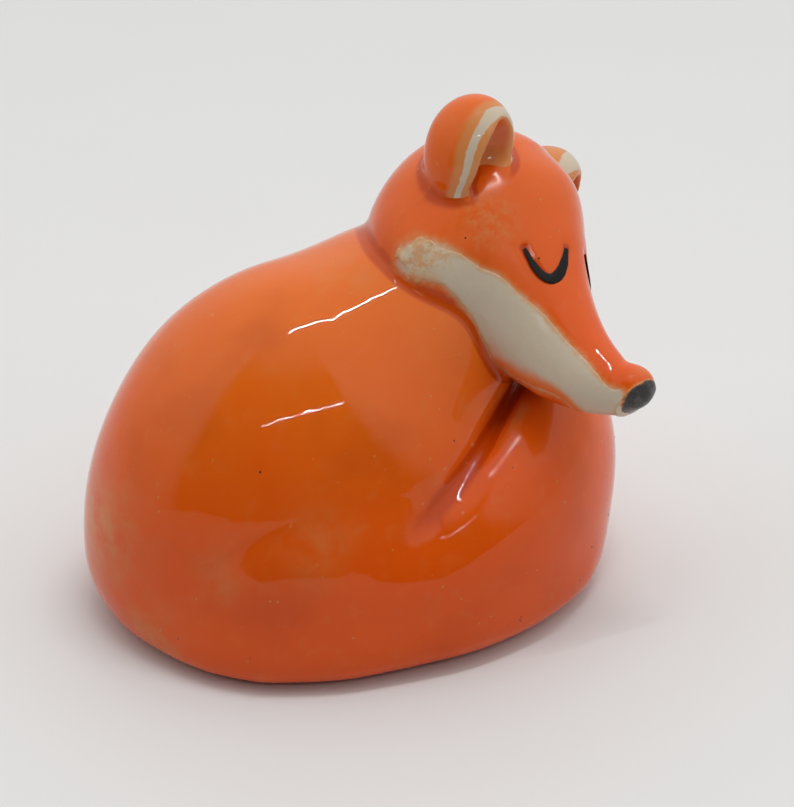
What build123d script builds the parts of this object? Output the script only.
from build123d import *
import os
from math import asin, cos, degrees, radians, sin, sqrt, tan

# Sleeping fox figurine, hand built in glazed earthenware and stood on its own flat foot.
# A hollow body is closed underneath by a slab, a tail coil wraps round it, and a hollow
# head rests on the neck with its chin on the tail. Ears, nose and coloured slips are added.
# Frame: origin at the centre of the foot, +X along the body towards the head end, +Z up,
# and the tail wraps along the -Y side. Every size is in millimetres.

# Body shell: an egg cut flat at the foot
body_half_length = 35.5
body_half_width = 28.5
body_offset_x = -4.8
body_offset_y = 2.2
body_height = 51.5
belly_height = 9.5
foot_inset = 3.0
body_wall = 6.0

# Neck: the hump on the shoulder that the head is pressed onto, long in the head's direction
neck_radius = 15.0
neck_length_radius = 16.5
neck_set_in = 19.0
neck_across = 2.5
neck_drop = 12.8

# Base slab: let into a rebate in the foot, with the vent that every closed pot needs
slab_thickness = 5.0
slab_rim = 4.0
slab_ledge = 3.0
vent_radius = 2.5
vent_across = 12.0

# Tail: a coil bedded in the body, its top a drop below the body's. Each station is the angle
# round the body, the share of the full half thickness and the share of the full height
tail_half_thickness = 10.8
tail_drop = 16.5
tail_bed = 5.0
tail_floor_sink_share = 0.12
tail_stations = [
    (-134.0, 0.20, 0.20),
    (-116.0, 0.48, 0.38),
    (-97.0, 0.72, 0.52),
    (-78.0, 0.86, 0.66),
    (-58.0, 0.93, 0.84),
    (-40.0, 0.97, 0.96),
    (-20.0, 1.00, 1.00),
    (4.0, 0.95, 0.98),
    (28.0, 0.80, 0.88),
    (48.0, 0.58, 0.72),
    (64.0, 0.34, 0.54),
]
tail_root_angle = -150.0
tail_root_rise = 0.10
tail_tip_angle = 80.0
tail_tip_rise = 0.30

# Head: set in from the body's end, turned and tilted, with stations from the back of the
# skull to the muzzle. Each station is the share of the length behind or ahead of the head's
# centre, then the half width, half height and rise as shares of the largest ones
head_half_width = 14.8
head_half_height = 14.8
head_back_length = 13.5
head_front_length = 39.2
head_set_in = 10.0
head_across = 3.3
head_rise = 0.6
head_yaw = -72.0
head_pitch = 19.4
head_roll = -42.2
head_stations = [
    (-0.84, 0.51, 0.57, -0.05),
    (-0.47, 0.85, 0.95, -0.06),
    (0.02, 1.00, 1.09, -0.07),
    (0.18, 0.91, 0.98, -0.04),
    (0.34, 0.73, 0.77, -0.07),
    (0.53, 0.52, 0.58, -0.19),
    (0.71, 0.38, 0.44, -0.24),
    (0.87, 0.28, 0.31, -0.20),
    (0.965, 0.18, 0.20, -0.135),
]
hollow_rise = 4.5
hollow_length_radius = 9.0
hollow_width_radius = 8.5
hollow_height_radius = 6.0
air_hole_radius = 2.5

# Nose: a small ball let into the end of the muzzle
nose_radius = 2.9
nose_set_back = 1.5
nose_rise = -0.4

# Ears: cups luted to the sides of the skull, leaning back, their scoops nearer the outer rim.
# Hand set, so the left one sits higher, further back and more splayed than the right one
ear_depth_radius = 6.9
ear_width_radius = 5.6
ear_length_radius = 7.3
ear_wall = 2.5
ear_opening_shift = 6.6
ear_opening_out = 0.8
right_ear_forward = -1.0
right_ear_side_share = 0.945
right_ear_up = 8.75
right_ear_lean_back = 20.0
right_ear_splay = 12.0
left_ear_forward = -3.4
left_ear_side_share = 0.838
left_ear_up = 11.0
left_ear_lean_back = 30.0
left_ear_splay = 18.0

# Closed eyes: black slip in a scored crescent that hangs from the line between its corners
eye_forward = 15.25
eye_side = 6.45
eye_up = 5.2
eye_facing = Vector(0.43, -0.52, 0.70)
eye_corner_line = Vector(0.22, 0.84, 0.49)
eye_half_width = 3.8
eye_sag = 5.2
eye_line_width = 1.6
eye_line_end = 0.9
eye_line_depth = 1.0
eye_reach = 5.0

# White slip from each cheek along the muzzle, outlined in the head's side view as shares of
# the length ahead of the head's centre and of the half height
slip_depth = 0.5
slip_chin_gap = 0.4
slip_outline = [
    (0.09, -0.64),
    (0.13, -0.35),
    (0.22, -0.24),
    (0.31, -0.135),
    (0.53, -0.12),
    (0.69, -0.16),
    (0.93, -0.055),
    (1.02, -0.27),
    (0.92, -0.61),
    (0.66, -0.91),
    (0.33, -0.88),
    (0.165, -0.845),
]

body_place = Vector(body_offset_x, body_offset_y, 0)
tail_height = body_height - tail_drop


def ellipsoid(plane, radius_x, radius_y, radius_z):
    """An ellipsoid with its radii along the axes of a plane."""
    return plane.location * scale(Sphere(1.0), by=(radius_x, radius_y, radius_z))


def dome(half_length, half_width, top, floor, floor_half_length):
    """An egg with its widest level at the belly, cut flat at the floor."""
    drop = (belly_height - floor) / sqrt(1 - (floor_half_length / half_length) ** 2)
    below = degrees(asin((belly_height - floor) / drop))
    belly = (0, belly_height)
    lower = EllipticalCenterArc(belly, half_length, drop, start_angle=-below, arc_size=below)
    upper = EllipticalCenterArc(belly, half_length, top - belly_height, start_angle=0, arc_size=90)
    axis = Polyline((0, top), (0, floor), lower @ 0)
    egg = revolve(Plane.XZ * make_face([lower, upper, axis]), axis=Axis.Z)
    return Pos(body_place) * scale(egg, by=(1, half_width / half_length, 1))


def foot_plate(inset, thickness):
    """A plate on the floor that follows the foot, inset from its edge."""
    outline = Ellipse(body_half_length - foot_inset - inset, body_half_width - foot_inset - inset)
    return Pos(body_place) * extrude(outline, thickness)


def tail_path(angle, height):
    """A point above the coil's path round the body."""
    turn = radians(angle)
    across = (body_half_width - tail_bed) * sin(turn)
    return body_place + Vector(body_half_length * cos(turn), across, height)


def tail_coil():
    """The coil before it is bedded: tall ellipses lofted round the body, pointed at both ends."""
    sections = [Vertex(tail_path(tail_root_angle, tail_height * tail_root_rise))]
    for angle, thickness_share, height_share in tail_stations:
        height = tail_height * height_share
        sink = height * tail_floor_sink_share
        along = tail_path(angle + 1, 0) - tail_path(angle - 1, 0)
        outward = along.cross(Vector(0, 0, 1))
        section = Plane(origin=tail_path(angle, (height - sink) / 2), x_dir=outward, z_dir=along)
        outline = Ellipse(tail_half_thickness * thickness_share, (height + sink) / 2)
        sections.append((section * outline).face())
    sections.append(Vertex(tail_path(tail_tip_angle, tail_height * tail_tip_rise)))
    return split(loft(sections), bisect_by=Plane.XY, keep=Keep.TOP)


def head_skin(inset):
    """The head's outside, or a surface inset from it, in the head's own axes."""
    sections = [Vertex(inset - head_back_length, 0, head_half_height * head_stations[0][3])]
    for length_share, width_share, height_share, rise_share in head_stations:
        along = length_share * (head_front_length if length_share > 0 else head_back_length)
        rise = head_half_height * rise_share
        section = Plane(origin=(along, 0, rise), x_dir=(0, 1, 0), z_dir=(1, 0, 0))
        outline = Ellipse(head_half_width * width_share - inset, head_half_height * height_share - inset)
        sections.append((section * outline).face())
    sections.append(Vertex(head_front_length - inset, 0, head_half_height * head_stations[-1][3]))
    return loft(sections)


def ear_cup(centre, lean_back, splay):
    """An ear of the right side before it is luted on: an egg with a scooped front, in the head's axes."""
    back, out = radians(lean_back), radians(splay)
    up = Vector(-sin(back), -tan(out), cos(back)).normalized()
    facing = (Vector(1, 0, 0) - up * up.X).normalized()
    outward = facing.cross(up)
    opening = centre + facing * ear_opening_shift + outward * ear_opening_out
    outside = ellipsoid(
        Plane(origin=centre, x_dir=facing, z_dir=up),
        ear_depth_radius,
        ear_width_radius,
        ear_length_radius,
    )
    scoop = ellipsoid(
        Plane(origin=opening, x_dir=facing, z_dir=up),
        ear_depth_radius - ear_wall / 2,
        ear_width_radius - ear_wall,
        ear_length_radius - ear_wall / 2,
    )
    return outside - scoop


def eyelid_crescent():
    """The scored crescent of the right eye, swept through the skin of the head."""
    corner = eye_half_width - eye_line_end
    lower = ThreePointArc((-eye_half_width, 0), (0, -eye_sag), (eye_half_width, 0))
    upper = ThreePointArc((corner, 0), (0, eye_line_width - eye_sag), (-corner, 0))
    outline = make_face([lower, Line(lower @ 1, upper @ 0), upper, Line(upper @ 1, lower @ 0)])
    lid = Plane(origin=(eye_forward, -eye_side, eye_up), x_dir=eye_corner_line, z_dir=eye_facing)
    return extrude(lid * outline, eye_reach, both=True)


def cheek_patch():
    """The right cheek's white patch, swept out through the side of the head."""
    corners = [(head_front_length * along, head_half_height * rise) for along, rise in slip_outline]
    edge = Spline(*corners, periodic=True)
    side_view = Plane(origin=(0, -slip_chin_gap, 0), x_dir=(1, 0, 0), z_dir=(0, -1, 0))
    return extrude(side_view * make_face(edge), head_half_width)


# The head's axes: x to the nose, y to the fox's left and z to the crown
yaw, pitch, roll = radians(head_yaw), radians(head_pitch), radians(head_roll)
forward = Vector(cos(pitch) * cos(yaw), cos(pitch) * sin(yaw), -sin(pitch))
level_left = Vector(-sin(yaw), cos(yaw), 0)
crown = forward.cross(level_left) * cos(roll) - level_left * sin(roll)
head_centre = body_place + Vector(body_half_length - head_set_in, head_across, body_height + head_rise)
head_place = Plane(origin=head_centre, x_dir=forward, z_dir=crown).location

# Body and neck, the slab under them and the hollow inside
neck_centre = body_place + Vector(body_half_length - neck_set_in, neck_across, body_height - neck_drop)
neck_stand = Plane(origin=neck_centre, x_dir=(cos(yaw), sin(yaw), 0))
body_outside = dome(body_half_length, body_half_width, body_height, 0, body_half_length - foot_inset)
body_outside += ellipsoid(neck_stand, neck_length_radius, neck_radius, neck_radius)
body_hollow = dome(
    body_half_length - body_wall,
    body_half_width - body_wall,
    body_height - body_wall,
    slab_thickness,
    body_half_length - foot_inset - slab_rim - slab_ledge,
)
slab = foot_plate(slab_rim, slab_thickness)
vent = Pos(body_place + Vector(0, vent_across, 0)) * extrude(Circle(vent_radius), slab_thickness)

# Head in its own axes: the skin, the hollow over the neck, and what is let into the skin
skin = head_skin(0)
skull_hollow = ellipsoid(
    Plane(origin=(0, 0, hollow_rise)),
    hollow_length_radius,
    hollow_width_radius,
    hollow_height_radius,
)
nose_ball = Pos(head_front_length - nose_set_back, 0, nose_rise) * Sphere(nose_radius)
right_line = eyelid_crescent() & (skin - head_skin(eye_line_depth))
right_slip = cheek_patch() & (skin - head_skin(slip_depth)) - nose_ball
left_line = mirror(right_line, about=Plane.XZ)
left_slip = mirror(right_slip, about=Plane.XZ)
right_ear_centre = Vector(right_ear_forward, -head_half_width * right_ear_side_share, right_ear_up)
left_ear_centre = Vector(left_ear_forward, -head_half_width * left_ear_side_share, left_ear_up)
right_ear = ear_cup(right_ear_centre, right_ear_lean_back, right_ear_splay)
left_ear = mirror(ear_cup(left_ear_centre, left_ear_lean_back, left_ear_splay), about=Plane.XZ)

# Pieces in place: the head caps the neck, the tail is bedded against body and chin, and an
# air hole joins the two hollows
to_neck = neck_centre - head_centre
air_line = Plane(origin=head_centre, z_dir=to_neck).location
air_hole = air_line * extrude(Circle(air_hole_radius), neck_radius * 2)
head_outside = head_place * skin
head = head_place * (skin - skull_hollow - nose_ball - right_line - left_line - right_slip - left_slip)

nodes = {
    "body_shell": body_outside - body_hollow - slab - air_hole,
    "base_slab": slab - vent,
    "tail": tail_coil() - body_outside - head_outside,
    "head": head - body_outside - air_hole,
    "right_ear": head_place * (right_ear - skin),
    "left_ear": head_place * (left_ear - skin),
    "nose": head_place * nose_ball,
    "right_eyelid_line": head_place * right_line,
    "left_eyelid_line": head_place * left_line,
    "right_cheek_slip": head_place * right_slip - body_outside,
    "left_cheek_slip": head_place * left_slip - body_outside,
}
os.makedirs("parts", exist_ok=True)
for name, shape in nodes.items():
    export_step(shape, f"parts/{name}.step")
